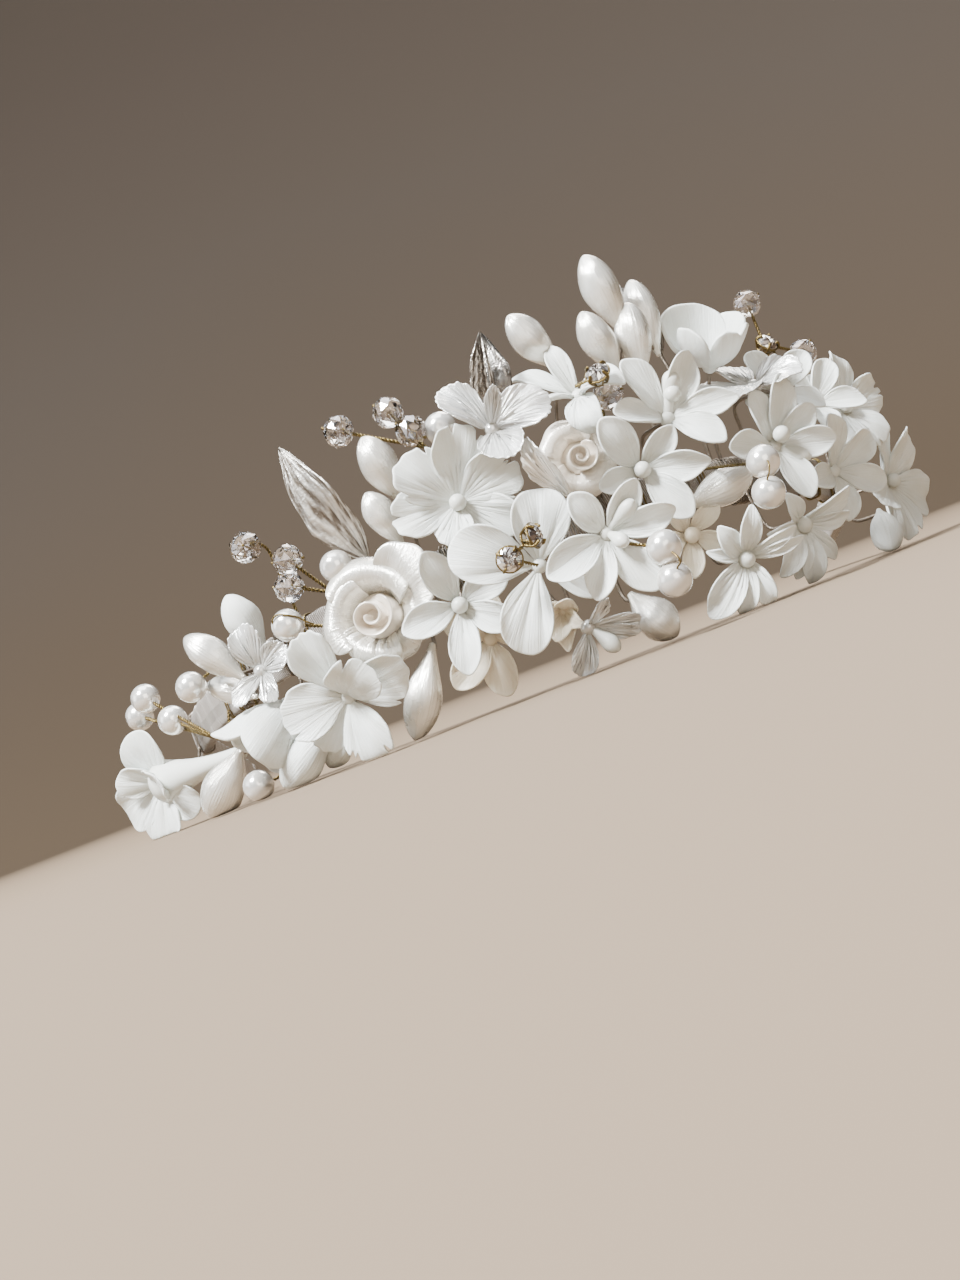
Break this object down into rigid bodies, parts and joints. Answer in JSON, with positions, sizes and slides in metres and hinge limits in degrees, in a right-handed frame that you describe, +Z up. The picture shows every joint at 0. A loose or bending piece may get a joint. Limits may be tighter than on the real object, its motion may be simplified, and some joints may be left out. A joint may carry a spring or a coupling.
{
  "type": "tiara",
  "caption": "Bridal flower tiara: a horseshoe band carrying clay flowers, buds, roses, pearls, crystals, set stones and metal leaves on wire stems; worn over the front of the hair.",
  "frame": {"origin": "centre of the bounding box seen from above, on the surface the tiara stands on", "axes": "+X towards the tiara's right end as the picture shows it, the decorated front looks along -Y, +Z up; the band rests tilted, high at the front and low at its two ends"},
  "size_m": [0.1836, 0.158, 0.072],
  "materials": {
    "matte_clay": "cool white air-dry or polymer clay, matt, with fine modelled grooves",
    "cream_clay": "cream white clay, matt",
    "pearl_clay": "pearlescent white clay with a silky sheen",
    "veined_clay": "thin translucent pearly clay with raised veins",
    "pearl": "bright pearl lustre",
    "crystal": "clear faceted glass with a faint lilac tint",
    "set_stone": "clear cut stone in an aged gold cup with prongs",
    "aged_silver": "aged silver, crumpled and bright on its ridges",
    "wrapped_band": "silver grey ribbon wound round a wire band"
  },
  "bodies": {
    "root": {"band": "wrapped_band", "bud_hanging": "pearl_clay", "bud_left_low": "pearl_clay", "bud_left_matte": "matte_clay", "bud_low_right": "pearl_clay", "bud_right_end": "matte_clay", "bud_right_pearly": "pearl_clay", "bud_spray_top": "pearl_clay", "bud_top_left": "pearl_clay", "buds_left": "pearl_clay", "buds_low_matte": "matte_clay", "buds_upper_left": "pearl_clay", "crystal_back": "crystal", "crystal_left": "crystal", "crystal_lily": "crystal", "crystals_left": "crystal", "crystals_right": "set_stone", "crystals_upper": "crystal", "flower_ball_right": "matte_clay", "flower_broad_front": "matte_clay", "flower_bud_stamens": "matte_clay", "flower_cream_behind": "cream_clay", "flower_cream_low": "cream_clay", "flower_cream_small": "cream_clay", "flower_cup_back": "matte_clay", "flower_left_end": "matte_clay", "flower_left_ruffled": "matte_clay", "flower_left_tulip": "matte_clay", "flower_lily_low": "matte_clay", "flower_lily_top": "matte_clay", "flower_pearly_back": "veined_clay", "flower_pearly_left": "veined_clay", "flower_pearly_low": "veined_clay", "flower_pearly_mid": "veined_clay", "flower_right_end": "matte_clay", "flower_right_high": "matte_clay", "flower_right_low": "matte_clay", "flower_right_mid": "matte_clay", "flower_right_stamens": "matte_clay", "flower_ruffled_top": "matte_clay", "flower_star_front": "matte_clay", "flower_tall_stamens": "matte_clay", "leaf_back": "aged_silver", "leaf_left": "aged_silver", "leaf_middle": "aged_silver", "pearl_behind": "pearl", "pearl_by_rose": "pearl", "pearl_gold_wire": "pearl", "pearl_left": "pearl", "pearl_left_low": "pearl", "pearls_front": "pearl", "pearls_left_end": "pearl", "pearls_right": "pearl", "petal_pearly": "veined_clay", "rose_back": "cream_clay", "rose_front": "pearl_clay", "stone_lily": "set_stone", "stone_right_end": "set_stone", "stones_front": "set_stone"}
  },
  "joints": []
}
